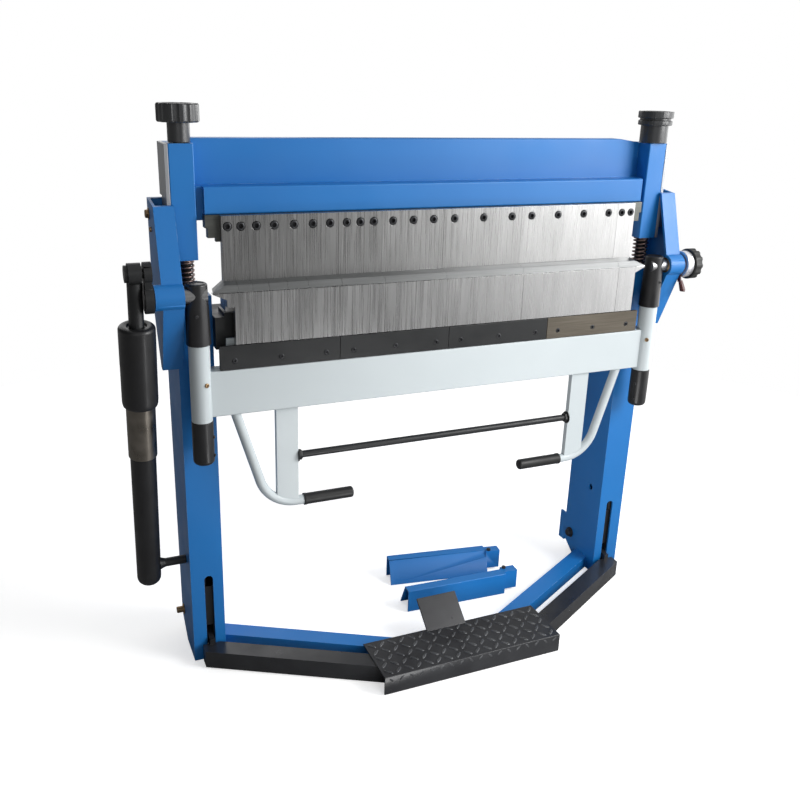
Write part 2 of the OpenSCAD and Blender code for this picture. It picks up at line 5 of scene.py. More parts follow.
import bmesh
import bpy
from mathutils import Matrix, Vector

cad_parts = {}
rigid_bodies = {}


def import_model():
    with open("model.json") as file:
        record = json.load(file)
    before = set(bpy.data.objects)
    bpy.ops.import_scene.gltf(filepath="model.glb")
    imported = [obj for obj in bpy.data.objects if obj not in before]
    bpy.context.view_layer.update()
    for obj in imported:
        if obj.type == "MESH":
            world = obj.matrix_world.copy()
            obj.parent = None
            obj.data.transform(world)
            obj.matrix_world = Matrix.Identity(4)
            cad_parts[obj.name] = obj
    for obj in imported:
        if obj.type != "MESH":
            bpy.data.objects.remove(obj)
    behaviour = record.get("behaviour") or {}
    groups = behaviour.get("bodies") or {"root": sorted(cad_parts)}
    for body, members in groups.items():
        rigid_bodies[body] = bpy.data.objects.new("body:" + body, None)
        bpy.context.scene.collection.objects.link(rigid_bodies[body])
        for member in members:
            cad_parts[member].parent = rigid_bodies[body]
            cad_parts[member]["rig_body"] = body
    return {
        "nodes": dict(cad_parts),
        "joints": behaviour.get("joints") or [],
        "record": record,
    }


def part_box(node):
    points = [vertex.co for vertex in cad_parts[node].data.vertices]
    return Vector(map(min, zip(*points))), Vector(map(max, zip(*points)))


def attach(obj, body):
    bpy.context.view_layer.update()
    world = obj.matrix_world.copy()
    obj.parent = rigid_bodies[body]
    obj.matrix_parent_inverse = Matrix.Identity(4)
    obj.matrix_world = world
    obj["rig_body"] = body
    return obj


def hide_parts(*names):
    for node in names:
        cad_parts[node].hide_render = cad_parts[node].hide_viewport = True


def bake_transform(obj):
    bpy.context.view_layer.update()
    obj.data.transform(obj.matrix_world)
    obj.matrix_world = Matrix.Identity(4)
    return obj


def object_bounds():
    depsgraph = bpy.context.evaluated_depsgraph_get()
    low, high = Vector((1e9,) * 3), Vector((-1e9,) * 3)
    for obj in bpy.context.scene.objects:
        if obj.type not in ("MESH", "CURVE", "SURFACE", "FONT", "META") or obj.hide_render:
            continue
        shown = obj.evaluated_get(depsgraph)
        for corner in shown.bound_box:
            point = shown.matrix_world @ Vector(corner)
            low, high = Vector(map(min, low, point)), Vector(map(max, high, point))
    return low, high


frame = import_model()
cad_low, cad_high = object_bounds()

MM = 0.001
NODES = frame["nodes"]
JOINTS = {j["name"]: j for j in frame["joints"]}
BEND_LINE = Vector(JOINTS["apron_fold"]["pos_m"])
CRANK_PIN = Vector(JOINTS["spring_swing"]["pos_m"])
SPRING_AXIS = Vector(JOINTS["spring_stroke"]["axis"]).normalized()
X, Y, Z = Vector((1, 0, 0)), Vector((0, 1, 0)), Vector((0, 0, 1))
SIDES = (-1, 1)
SHARP = math.radians(50)


# ---- camera, light and floor ----

CAMERA_PLACE = Vector((-0.89155, -1.60794, 1.31086))
CAMERA_YAW, CAMERA_PITCH, CAMERA_ROLL = (math.radians(a) for a in (23.5, 19.34, 1.63))
CAMERA_LENS = 39.18
CAMERA_SHIFT = (0.01335, -0.0135)

# What lights the machine from around it: its strength from left to right, and what is left of it higher up.
# Each is a ramp of two directions and the strengths at them.
SIDE_RAMP = (0.38, 0.70, 0.30, 3.0)
HEIGHT_RAMP = (0.0, 0.45, 1.0, 0.3)

FLOOR_RADIUS = 2.6
FLOOR_GLOW = 0.55
FLOOR_BOUNCE = 0.35

# Soft lights: name, place, aim, width, height and power. Where the aim is None, it is
# the machine's middle.
LIGHTS = (
    ("key", (1.6, -1.25, 1.7), (0.6, 0.15, 0.8), 1.2, 1.2, 44),
    ("fill", (-1.1, -2.6, 1.9), (0.5, 0.2, 0.6), 1.8, 1.8, 8),
    ("top", (0.9, 0.2, 3.4), None, 5.0, 5.0, 36),
    ("back", (-0.6, 3.2, 2.2), None, 3.0, 2.0, 24),
    ("low", (-0.05, -0.6, 0.22), (0.6, 0.3, 0.4), 0.5, 0.3, 3.0),
)


def make_camera():
    """The camera stands in front of the machine's left half and looks down and to the right."""
    level = math.cos(CAMERA_PITCH)
    ahead = Vector((math.sin(CAMERA_YAW) * level, math.cos(CAMERA_YAW) * level, -math.sin(CAMERA_PITCH)))
    right = Vector((math.cos(CAMERA_YAW), -math.sin(CAMERA_YAW), 0))
    up = right.cross(ahead)
    tilted_right = right * math.cos(CAMERA_ROLL) + up * math.sin(CAMERA_ROLL)
    tilted_up = up * math.cos(CAMERA_ROLL) - right * math.sin(CAMERA_ROLL)
    data = bpy.data.cameras.new("camera")
    data.sensor_width = 36
    data.lens = CAMERA_LENS
    data.shift_x, data.shift_y = CAMERA_SHIFT
    data.clip_start, data.clip_end = 0.05, 100
    camera = bpy.data.objects.new("camera", data)
    bpy.context.scene.collection.objects.link(camera)
    turn = Matrix((tilted_right, tilted_up, -ahead)).transposed().to_4x4()
    camera.matrix_world = Matrix.Translation(CAMERA_PLACE) @ turn
    bpy.context.scene.camera = camera


def make_light(name, place, aim, width, height, power):
    """A soft light that is not seen itself."""
    data = bpy.data.lights.new(name, "AREA")
    data.shape = "RECTANGLE"
    data.size, data.size_y = width, height
    data.energy = power
    light = bpy.data.objects.new(name, data)
    bpy.context.scene.collection.objects.link(light)
    light.visible_camera = False
    light.location = place
    light.rotation_mode = "QUATERNION"
    light.rotation_quaternion = (Vector(aim) - Vector(place)).to_track_quat("-Z", "Y")


def make_world():
    """White behind the machine. What lights it is dim on the left and overhead, and bright low on the right."""
    world = bpy.data.worlds.new("studio")
    bpy.context.scene.world = world
    world.use_nodes = True
    tree = world.node_tree
    tree.nodes.clear()
    coord = tree.nodes.new("ShaderNodeTexCoord")
    split = tree.nodes.new("ShaderNodeSeparateXYZ")
    tree.links.new(coord.outputs["Generated"], split.inputs[0])
    levels = []
    for axis, ramp in (("X", SIDE_RAMP), ("Z", HEIGHT_RAMP)):
        level = tree.nodes.new("ShaderNodeMapRange")
        level.interpolation_type = "SMOOTHSTEP"
        for socket, value in zip(("From Min", "From Max", "To Min", "To Max"), ramp):
            level.inputs[socket].default_value = value
        tree.links.new(split.outputs[axis], level.inputs["Value"])
        levels.append(level.outputs["Result"])
    product = tree.nodes.new("ShaderNodeMath")
    product.operation = "MULTIPLY"
    lit = tree.nodes.new("ShaderNodeBackground")
    seen = tree.nodes.new("ShaderNodeBackground")
    seen.inputs["Color"].default_value = (1, 1, 1, 1)
    path = tree.nodes.new("ShaderNodeLightPath")
    mix = tree.nodes.new("ShaderNodeMixShader")
    out = tree.nodes.new("ShaderNodeOutputWorld")
    for a, b in ((levels[0], product.inputs[0]), (levels[1], product.inputs[1]),
                 (product.outputs[0], lit.inputs["Strength"]), (path.outputs["Is Camera Ray"], mix.inputs[0]),
                 (lit.outputs[0], mix.inputs[1]), (seen.outputs[0], mix.inputs[2]),
                 (mix.outputs[0], out.inputs[0])):
        tree.links.new(a, b)


def make_floor():
    """A pale floor. It looks white, and throws less light back up than it shows."""
    bm = bmesh.new()
    bmesh.ops.create_circle(bm, cap_ends=True, segments=96, radius=FLOOR_RADIUS)
    mesh = bpy.data.meshes.new("floor")
    bm.to_mesh(mesh)
    bm.free()
    floor = bpy.data.objects.new("floor", mesh)
    floor.location.z = -0.4 * MM
    bpy.context.scene.collection.objects.link(floor)
    shade = Finish("floor", (0.90, 0.90, 0.90), 0.8)
    shade.colour_noise((0.92, 0.92, 0.92), 3)
    shade.put("Emission Color", (1, 1, 1, 1))
    shade.put("Emission Strength", FLOOR_GLOW)
    dim = shade.add("ShaderNodeBsdfDiffuse", Color=(FLOOR_BOUNCE, FLOOR_BOUNCE, FLOOR_BOUNCE, 1))
    path = shade.tree.nodes.new("ShaderNodeLightPath")
    mix = shade.tree.nodes.new("ShaderNodeMixShader")
    out = shade.tree.nodes["Material Output"]
    for a, b in ((path.outputs["Is Camera Ray"], mix.inputs[0]), (dim.outputs[0], mix.inputs[1]),
                 (shade.bsdf.outputs[0], mix.inputs[2]), (mix.outputs[0], out.inputs["Surface"])):
        shade.tree.links.new(a, b)
    mesh.materials.append(shade.mat)


def make_stage():
    make_world()
    make_floor()
    middle = (cad_low + cad_high) / 2
    for name, place, aim, *rest in LIGHTS:
        make_light(name, place, aim or middle, *rest)
    bpy.context.scene.view_settings.view_transform = "Standard"


# ---- finishes ----

class Finish:
    """A Principled material and the patterns laid over it, in the row frame's own coordinates."""

    def __init__(self, name, colour, roughness, metallic=0.0, coat=0.0):
        self.mat = bpy.data.materials.new(name)
        self.mat.use_nodes = True
        self.tree = self.mat.node_tree
        self.bsdf = self.tree.nodes["Principled BSDF"]
        self.coord = self.tree.nodes.new("ShaderNodeTexCoord")
        self.base = (*colour, 1)
        self.put("Base Color", self.base)
        self.put("Roughness", roughness)
        self.put("Metallic", metallic)
        self.put("Coat Weight", coat)
        self.put("Coat Roughness", 0.12)
        self.colour = self.base
        self.height = None
        self.mat.diffuse_color = self.base

    def put(self, socket, value):
        self.set(self.bsdf.inputs[socket], value)

    def set(self, socket, value):
        if isinstance(value, bpy.types.NodeSocket):
            self.tree.links.new(value, socket)
        else:
            socket.default_value = value

    def add(self, kind, **values):
        node = self.tree.nodes.new(kind)
        for key, value in values.items():
            self.set(node.inputs[key.replace("_", " ")], value)
        return node

    def noise(self, scale, stretch=(1, 1, 1), detail=3.0):
        """Noise of the given scale per metre, drawn out along the axes where stretch is small."""
        place = self.add("ShaderNodeMapping", Vector=self.coord.outputs["Object"], Scale=stretch)
        made = self.add("ShaderNodeTexNoise", Vector=place.outputs[0], Scale=scale, Detail=detail)
        return made.outputs["Fac"]

    def spread(self, value, low, high, to_low=0.0, to_high=1.0):
        node = self.add("ShaderNodeMapRange", Value=value, From_Min=low, From_Max=high)
        self.set(node.inputs["To Min"], to_low)
        self.set(node.inputs["To Max"], to_high)
        return node.outputs[0]

    def times(self, a, b):
        node = self.tree.nodes.new("ShaderNodeMath")
        node.operation = "MULTIPLY"
        self.set(node.inputs[0], a)
        self.set(node.inputs[1], b)
        return node.outputs[0]

    def tint(self, mask, colour):
        """Lays colour over what is there, where mask is 1."""
        node = self.tree.nodes.new("ShaderNodeMix")
        node.data_type = "RGBA"
        self.set(node.inputs[0], mask)
        self.set(node.inputs[6], self.colour)
        self.set(node.inputs[7], (*colour, 1))
        self.colour = node.outputs[2]
        self.put("Base Color", self.colour)

    def colour_noise(self, colour, scale, stretch=(1, 1, 1), low=0.35, high=0.65):
        self.tint(self.spread(self.noise(scale, stretch), low, high), colour)

    def rough_noise(self, low, high, scale, stretch=(1, 1, 1)):
        self.put("Roughness", self.spread(self.noise(scale, stretch), 0.3, 0.7, low, high))

    def bump(self, height, strength, distance):
        node = self.add("ShaderNodeBump", Height=height, Strength=strength, Distance=distance)
        if self.height is not None:
            self.set(node.inputs["Normal"], self.height)
        self.height = node.outputs[0]
        self.put("Normal", self.height)

    def edge_mask(self, radius, samples=4):
        """1 along convex and concave edges, broken up by noise."""
        bevel = self.add("ShaderNodeBevel", Radius=radius)
        bevel.samples = samples
        face = self.tree.nodes.new("ShaderNodeNewGeometry")
        dot = self.tree.nodes.new("ShaderNodeVectorMath")
        dot.operation = "DOT_PRODUCT"
        self.set(dot.inputs[0], bevel.outputs[0])
        self.set(dot.inputs[1], face.outputs["Normal"])
        edge = self.spread(dot.outputs["Value"], 0.995, 0.90)
        return self.times(edge, self.spread(self.noise(70), 0.45, 0.7))


def powder(name, colour, light, roughness=0.36, wear=(0.55, 0.7, 0.85), coat=0.25):
    """Powder coat: fine orange peel, slow waves in its thickness, and thin places along the edges."""
    f = Finish(name, colour, roughness, coat=coat)
    f.colour_noise(light, 4, low=0.3, high=0.8)
    f.tint(f.times(f.edge_mask(1.6 * MM), 0.35), wear)
    f.rough_noise(roughness - 0.05, roughness + 0.08, 9)
    f.bump(f.noise(700, detail=2), 0.06, 0.25 * MM)
    f.bump(f.noise(28, detail=2), 0.05, 1.2 * MM)
    return f.mat


# How the pattern is drawn out: its scale along x, y and z, for grinding lines that run along x or along z
ALONG_X = (0.012, 1, 1)
ALONG_Z = (1, 1, 0.012)


def ground(name, colour, light, roughness=0.3, across=ALONG_Z, grain=900, metallic=1.0):
    """Ground steel: close grinding lines along one axis, and broad bands where the wheel's passes meet."""
    f = Finish(name, colour, roughness, metallic=metallic)
    f.colour_noise(light, grain, across, 0.3, 0.7)
    bands = [1 if s == 1 else 0.25 for s in across]
    f.tint(f.times(f.spread(f.noise(26, bands), 0.4, 0.75), 0.5), tuple(0.8 * c for c in colour))
    f.rough_noise(roughness - 0.06, roughness + 0.1, grain / 2, across)
    f.bump(f.noise(grain, across, detail=2), 0.10, 0.15 * MM)
    return f.mat


def dark(name, colour, light, roughness=0.42, metallic=0.0, coat=0.0, grain=900, depth=0.12,
         wear=(0.16, 0.16, 0.17)):
    """Black enamel, oxide or moulded plastic, rubbed lighter along its edges. On the tread bars the lighter
    colour and edges are partly wear and partly a painted highlight.
    """
    f = Finish(name, colour, roughness, metallic=metallic, coat=coat)
    f.colour_noise(light, 14, low=0.35, high=0.8)
    f.tint(f.times(f.edge_mask(1.4 * MM), 0.5), wear)
    f.rough_noise(roughness - 0.07, roughness + 0.1, 22)
    f.bump(f.noise(grain, detail=3), depth, 0.3 * MM)
    return f.mat


def metal(name, colour, light, roughness, scale=60, grain=1200):
    """Plated or turned metal with faint cloudy staining."""
    f = Finish(name, colour, roughness, metallic=1.0)
    f.colour_noise(light, scale)
    f.rough_noise(roughness - 0.06, roughness + 0.1, scale)
    f.bump(f.noise(grain, detail=2), 0.06, 0.15 * MM)
    return f.mat


def make_finishes():
    return {
        "blue_paint": powder("blue_paint", (0.008, 0.165, 0.50), (0.012, 0.19, 0.55), 0.44, coat=0.06),
        "white_paint": powder("white_paint", (0.56, 0.615, 0.635), (0.60, 0.655, 0.675), 0.42,
                              wear=(0.80, 0.83, 0.84), coat=0.1),
        "ground_steel": ground("ground_steel", (0.44, 0.44, 0.44), (0.52, 0.52, 0.52), 0.33, across=ALONG_X),
        "bare_steel": ground("bare_steel", (0.30, 0.30, 0.305), (0.38, 0.38, 0.38), 0.36),
        "plate_steel": ground("plate_steel", (0.36, 0.37, 0.39), (0.44, 0.45, 0.47), 0.36, metallic=0.45),
        # The toes' upward slopes get a darker steel: painted shade for how the light falls on them.
        "toe_shade_steel": ground("toe_shade_steel", (0.15, 0.155, 0.155), (0.19, 0.195, 0.195), 0.34, across=ALONG_X,
                            metallic=0.5),
        "dark_steel": ground("dark_steel", (0.115, 0.12, 0.11), (0.155, 0.16, 0.15), 0.4, across=ALONG_X),
        "brown_steel": ground("brown_steel", (0.12, 0.105, 0.085), (0.19, 0.17, 0.14), 0.42, across=ALONG_X),
        "bronze": metal("bronze", (0.62, 0.42, 0.20), (0.52, 0.34, 0.16), 0.34),
        "zinc_bolts": metal("zinc_bolts", (0.40, 0.27, 0.15), (0.30, 0.20, 0.11), 0.36, 220),
        "spring_steel": metal("spring_steel", (0.26, 0.19, 0.175), (0.17, 0.125, 0.115), 0.34, 160),
        "bronze_grey": metal("bronze_grey", (0.20, 0.18, 0.155), (0.26, 0.235, 0.205), 0.32, 30),
        "black_oxide": dark("black_oxide", (0.009, 0.010, 0.011), (0.016, 0.017, 0.018), 0.42),
        "black_bolts": dark("black_bolts", (0.03, 0.031, 0.034), (0.055, 0.056, 0.06), 0.36, metallic=0.5),
        "black_enamel": dark("black_enamel", (0.009, 0.009, 0.010), (0.017, 0.017, 0.019), 0.38, coat=0.1),
        "black_paint": dark("black_paint", (0.014, 0.0145, 0.017), (0.026, 0.027, 0.030), 0.34, coat=0.2,
                            grain=420, depth=0.2),
        # The tread bars: a lighter black with light edges, partly wear and partly a painted highlight.
        "worn_bars_and_highlight": dark("worn_bars_and_highlight", (0.04, 0.042, 0.046), (0.10, 0.104, 0.11), 0.28, metallic=0.3, coat=0.3,
                          grain=420, wear=(0.30, 0.31, 0.32)),
        # The knobs: a lighter black than the other enamel, partly their own black and partly painted sheen for
        # the highlights on their sides.
        "knob_enamel_and_sheen": dark("knob_enamel_and_sheen", (0.028, 0.029, 0.031), (0.046, 0.048, 0.050), 0.33, coat=0.3,
                            wear=(0.22, 0.22, 0.23)),
        "black_plastic": dark("black_plastic", (0.009, 0.009, 0.009), (0.016, 0.016, 0.016), 0.5, grain=1500,
                              depth=0.2, wear=(0.05, 0.05, 0.05)),
        "white_ring": metal("white_ring", (0.86, 0.86, 0.90), (0.80, 0.80, 0.84), 0.45),
        "tick_ink": dark("tick_ink", (0.01, 0.01, 0.012), (0.02, 0.02, 0.02), 0.6),
        "red_lever": dark("red_lever", (0.055, 0.008, 0.008), (0.08, 0.012, 0.012), 0.35,
                          wear=(0.2, 0.06, 0.05)),
    }


# ---- mesh helpers ----

def keep_mesh(name, bm, body, mats, nodes=(), pick=None, sharp=SHARP):
    """Makes bm a piece on body, with smooth shading up to the angle sharp."""
    bmesh.ops.recalc_face_normals(bm, faces=bm.faces)
    if pick:
        for face in bm.faces:
            face.material_index = pick(face)
    mesh = bpy.data.meshes.new(name)
    bm.to_mesh(mesh)
    bm.free()
    for mat in mats:
        mesh.materials.append(FINISH[mat] if isinstance(mat, str) else mat)
    mesh.shade_smooth()
    mesh.set_sharp_from_angle(angle=sharp)
    piece = bpy.data.objects.new(name, mesh)
    bpy.context.scene.collection.objects.link(piece)
    weighted = piece.modifiers.new("even_shading", "WEIGHTED_NORMAL")
    weighted.keep_sharp = True
    if body:
        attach(piece, body)
    if nodes:
        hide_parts(*nodes)
    return piece


def body_of(node):
    return NODES[node]["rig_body"]


def slot_of(node):
    return next(s["material_slot"] for s in frame["record"]["subparts"] if s["node"] == node)


def clean_copy(node):
    """The CAD node's mesh with its flat faces joined up."""
    bm = bmesh.new()
    bm.from_mesh(NODES[node].data)
    bmesh.ops.remove_doubles(bm, verts=bm.verts, dist=2e-6)
    bmesh.ops.dissolve_limit(bm, angle_limit=math.radians(0.4), verts=bm.verts, edges=bm.edges)
    return bm


def corner_edges(bm, shortest, longest=10.0):
    return [e for e in bm.edges if len(e.link_faces) == 2 and abs(e.calc_face_angle(0)) > math.radians(35)
            and shortest <= e.calc_length() <= longest]


def round_edges(bm, edges, radius, segments):
    if edges:
        bmesh.ops.bevel(bm, geom=edges, offset=radius, offset_type="OFFSET", segments=segments, profile=0.5,
                        affect="EDGES", clamp_overlap=True, loop_slide=True)


def refined(node, fold=None, long_edge=0.15, fine=0.7 * MM, mats=None, pick=None, name=None, where=None):
    """The CAD node as a piece with its edges broken: the long folds by the radius fold, the rest by fine."""
    bm = clean_copy(node)
    if fold:
        edges = corner_edges(bm, long_edge)
        if where:
            edges = [e for e in edges if where(e)]
        round_edges(bm, edges, fold, 4)
    if fine:
        round_edges(bm, corner_edges(bm, 2.2 * fine), fine, 2)
    slot = slot_of(node)
    return keep_mesh(name or node + "_skin", bm, body_of(node), mats or [slot], [node], pick)


def frame_of(axis):
    """Two directions square to axis and to each other."""
    axis = axis.normalized()
    side = axis.cross(Z if abs(axis.z) < 0.9 else X).normalized()
    return side, axis.cross(side)


def add_ring(bm, centre, u, v, radii):
    count = len(radii)
    turns = [math.tau * i / count for i in range(count)]
    return [bm.verts.new(centre + u * (r * math.cos(t)) + v * (r * math.sin(t))) for r, t in zip(radii, turns)]


def bridge(bm, a, b):
    for i in range(len(a)):
        j = (i + 1) % len(a)
        bm.faces.new((a[i], a[j], b[j], b[i]))


def skin(bm, rings, closed=False):
    """Joins a row of rings. It gets end faces, or its last ring is joined to its first."""
    for a, b in zip(rings, rings[1:]):
        bridge(bm, a, b)
    if closed:
        bridge(bm, rings[-1], rings[0])
    else:
        bm.faces.new(list(reversed(rings[0])))
        bm.faces.new(rings[-1])


def turned(bm, origin, axis, profile, segments=72, shape=None, closed=False):
    """A turned solid. profile holds (distance along axis, radius) pairs from one end to the other.
    shape(radius, along, angle) changes the radius round the piece. closed joins the last ring to the first."""
    u, v = frame_of(axis)
    rings = []
    for along, radius in profile:
        radii = [shape(radius, along, math.tau * i / segments) if shape else radius for i in range(segments)]
        rings.append(add_ring(bm, origin + axis * along, u, v, radii))
    skin(bm, rings, closed)


def rounded(low, high, radius, fillet, steps=4, ends=(True, True)):
    """The profile of a cylinder from low to high with filleted rims."""
    quarter = [math.radians(90 * k / steps) for k in range(steps + 1)]
    start = [(low + fillet * (1 - math.sin(a)), radius - fillet * (1 - math.cos(a))) for a in reversed(quarter)]
    finish = [(high - fillet * (1 - math.sin(a)), radius - fillet * (1 - math.cos(a))) for a in quarter]
    return (start if ends[0] else [(low, radius)]) + (finish if ends[1] else [(high, radius)])


def swept(bm, points, radius, segments):
    """A round tube along a smooth row of points."""
    rings, u = [], None
    for i, p in enumerate(points):
        ahead = (points[min(i + 1, len(points) - 1)] - points[max(i - 1, 0)]).normalized()
        u = frame_of(ahead)[0] if u is None else (u - ahead * u.dot(ahead)).normalized()
        rings.append(add_ring(bm, p, u, ahead.cross(u), [radius] * segments))
    skin(bm, rings)


def hexagon(radius, angle):
    """Distance from the centre to the side of a hexagon whose corners are at radius."""
    turn = angle % (math.pi / 3) - math.pi / 6
    return radius * math.cos(math.pi / 6) / math.cos(turn)


def socket_head(bm, seat, out, radius, height, socket, segments=24):
    """A socket cap screw's head, standing on seat and facing out."""
    u, v = frame_of(out)
    chamfer = 0.14 * radius
    depth = 0.62 * height
    hexes = [hexagon(socket, math.tau * i / segments) for i in range(segments)]
    levels = [(0, [radius] * segments), (height - chamfer, [radius] * segments),
              (height, [radius - chamfer] * segments), (height, [1.12 * h for h in hexes]),
              (height - 0.5 * chamfer, hexes), (height - depth, hexes)]
    rings = [add_ring(bm, seat + out * h, u, v, radii) for h, radii in levels]
    skin(bm, rings)


def hex_head(bm, seat, out, radius, height, washer=0.0):
    """A hexagon bolt head with a chamfered crown, on a washer where one is asked for."""
    u, v = frame_of(out)
    segments = 24
    start = 0.0
    if washer:
        turned(bm, seat, out, rounded(0, washer, 1.25 * radius, 0.25 * washer, 2), 32)
        start = washer
    hexes = [hexagon(radius, math.tau * i / segments) for i in range(segments)]
    crown = 0.93 * radius * math.cos(math.pi / 6)
    rings = [add_ring(bm, seat + out * h, u, v, radii) for h, radii in (
        (start, hexes), (start + 0.85 * height, [min(h, radius * 0.97) for h in hexes]),
        (start + height, [crown] * segments), (start + height * 0.96, [0.55 * radius] * segments))]
    skin(bm, rings)


def reach(node, origin, axis):
    """Lowest and highest distance along axis, from origin, of the CAD node's points."""
    ds = [(v.co - origin).dot(axis) for v in NODES[node].data.vertices]
    return min(ds), max(ds)


# ---- frame ----

def is_upright(edge):
    d = (edge.verts[1].co - edge.verts[0].co).normalized()
    return abs(d.z) > 0.95


def make_frame():
    for node in ("column_left", "column_right"):
        refined(node, fold=6 * MM, long_edge=0.09, where=is_upright)
    refined("base_bar_sides", fold=3 * MM)
    refined("base_bar_middle", fold=3 * MM)
    for node in ("wing_left", "wing_right"):
        refined(node, fold=2.5 * MM, long_edge=0.05)
    refined("bed_beam", fold=6 * MM)
    refined("bed_die")
    refined("bed_brackets")
    refined("guide_blocks", fine=1.2 * MM)
    for node in ("foot_channel_rear", "foot_channel_front"):
        refined(node, fold=3 * MM, mats=["blue_paint", "black_bolts"], fine=0.6 * MM,
                pick=lambda f, z=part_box(node)[1].z - 4 * MM: int(f.calc_center_median().z > z))
    NODES["pivot_bushes"].data.materials[0] = FINISH["bronze"]


# The guide blocks' bolt and set screw, y and z in mm, and the wings' thickness
GUIDE_BOLT = (214, 1050)
GUIDE_SCREW = (190, 1022)
WING_THICK = 6


def make_frame_bolts():
    """Bolts of the guide blocks and pedal pivots, with hexagon heads outside."""
    pivot = Vector(JOINTS["pedal_press"]["pos_m"])
    wing_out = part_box("guide_blocks")[1].x + WING_THICK * MM
    column_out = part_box("column_right")[1].x
    bm, dark_bm = bmesh.new(), bmesh.new()
    for side in SIDES:
        out = X * side
        bolt, screw = (Vector((side * wing_out, y * MM, z * MM)) for y, z in (GUIDE_BOLT, GUIDE_SCREW))
        hex_head(bm, bolt, out, 9.5 * MM, 6 * MM, 1.5 * MM)
        socket_head(bm, screw, out, 5 * MM, 4 * MM, 2.6 * MM)
        end = Vector((side * column_out, pivot.y, pivot.z))
        turned(bm, end, out, rounded(-80 * MM, 18 * MM, 7.9 * MM, 1.2 * MM))
        turned(bm, end, out, rounded(0.2 * MM, 2.5 * MM, 13 * MM, 0.6 * MM))
        inner = Vector((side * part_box("column_right")[0].x, pivot.y, pivot.z))
        hex_head(dark_bm, inner, -out, 12 * MM, 9 * MM, 2 * MM)
    keep_mesh("hex_bolts", bm, "frame", ["zinc_bolts"], ["frame_bolts"])
    keep_mesh("pivot_nuts", dark_bm, "frame", ["black_bolts"])


# ---- clamping beam ----

# Each finger's steel tone from left to right: small random steps, plus painted light that makes the steel
# lighter towards the right, where the light comes from; and the height of the fingers' toes
FINGER_TONES_AND_LIGHT = (0.32, 0.34, 0.33, 0.35, 0.34, 0.36, 0.37, 0.40, 0.42, 0.46, 0.49)
TOE_HEIGHT = 20 * MM


def make_beam():
    refined("upper_beam", fold=3.5 * MM, long_edge=0.06)
    refined("end_boxes", fold=2.5 * MM)
    refined("slide_plates", fine=0.9 * MM, mats=["plate_steel"])
    refined("finger_holder", mats=["dark_steel"])
    toe_top = BEND_LINE.z + TOE_HEIGHT
    # Painted light: each finger's steel is lighter the further right it stands.
    for i, tone_and_light in enumerate(FINGER_TONES_AND_LIGHT):
        node = f"finger_{i + 1}"
        mat = ground(node + "_steel", (tone_and_light, tone_and_light, tone_and_light * 0.99), (tone_and_light * 1.16, tone_and_light * 1.16, tone_and_light * 1.16), 0.27)
        # Painted shade: each toe's upward-facing faces get the darker toe steel.
        refined(node, fine=0.45 * MM, mats=[mat, "toe_shade_steel"],
                pick=lambda f: int(f.calc_center_median().z < toe_top and f.normal.z > 0.3))
    blades = ground("blade_steel", (0.40, 0.40, 0.40), (0.47, 0.47, 0.47), 0.27)
    refined("bending_blades", fine=0.45 * MM, mats=[blades])


def bolt_centres(node):
    """The middles in x of the node's loose parts, from left to right."""
    bm = clean_copy(node)
    seen, xs = set(), []
    for vert in bm.verts:
        if vert in seen:
            continue
        stack, part = [vert], []
        while stack:
            v = stack.pop()
            if v in seen:
                continue
            seen.add(v)
            part.append(v.co.copy())
            stack.extend(e.other_vert(v) for e in v.link_edges)
        xs.append((min(p.x for p in part) + max(p.x for p in part)) / 2)
    bm.free()
    return sorted(xs)


def make_finger_bolts():
    low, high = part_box("finger_bolts")
    z = (low.z + high.z) / 2
    bm = bmesh.new()
    for x in bolt_centres("finger_bolts"):
        socket_head(bm, Vector((x, low.y + 10 * MM, z)), -Y, 8.8 * MM, 10 * MM, 4.8 * MM, 36)
    keep_mesh("finger_bolt_heads", bm, "clamping_beam", ["black_bolts"], ["finger_bolts"])


def make_pull_rods():
    """The CAD's rods and forks, with a thread round each rod under its end box."""
    NODES["pull_rods"].data.materials[0] = FINISH["black_oxide"]
    centre = JOINTS["knob_right_turn"]["pos_m"]
    for side, name in ((-1, "left"), (1, "right")):
        bm = bmesh.new()
        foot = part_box("end_boxes")[0].z
        profile = [(foot - 74 * MM, 11.3 * MM)]
        pitch, z = 2.5 * MM, foot - 70 * MM
        while z < foot - 4 * MM:
            profile += [(z, 11.1 * MM), (z + pitch / 2, 12.4 * MM)]
            z += pitch
        profile.append((foot + 2 * MM, 11.3 * MM))
        turned(bm, Vector((side * centre[0], centre[1], 0)), Z, profile, 40)
        keep_mesh(f"rod_thread_{name}", bm, "clamping_beam", ["black_oxide"])


def fluted(count, depth, width):
    """A radius shape with count rounded flutes."""
    def shape(radius, along, angle):
        turn = (angle * count / math.tau) % 1 - 0.5
        return radius - depth * max(0.0, 1 - (turn / width) ** 2) ** 0.5 if abs(turn) < width else radius
    return shape


# Heights of the left knob's disc and of the right knob's three steps
LEFT_DISC = 1229 * MM
RIGHT_FLANGE = (1232 * MM, 1244 * MM)
RIGHT_GROOVE = (1244.2 * MM, 1248 * MM)
RIGHT_CAP = 1248.2 * MM


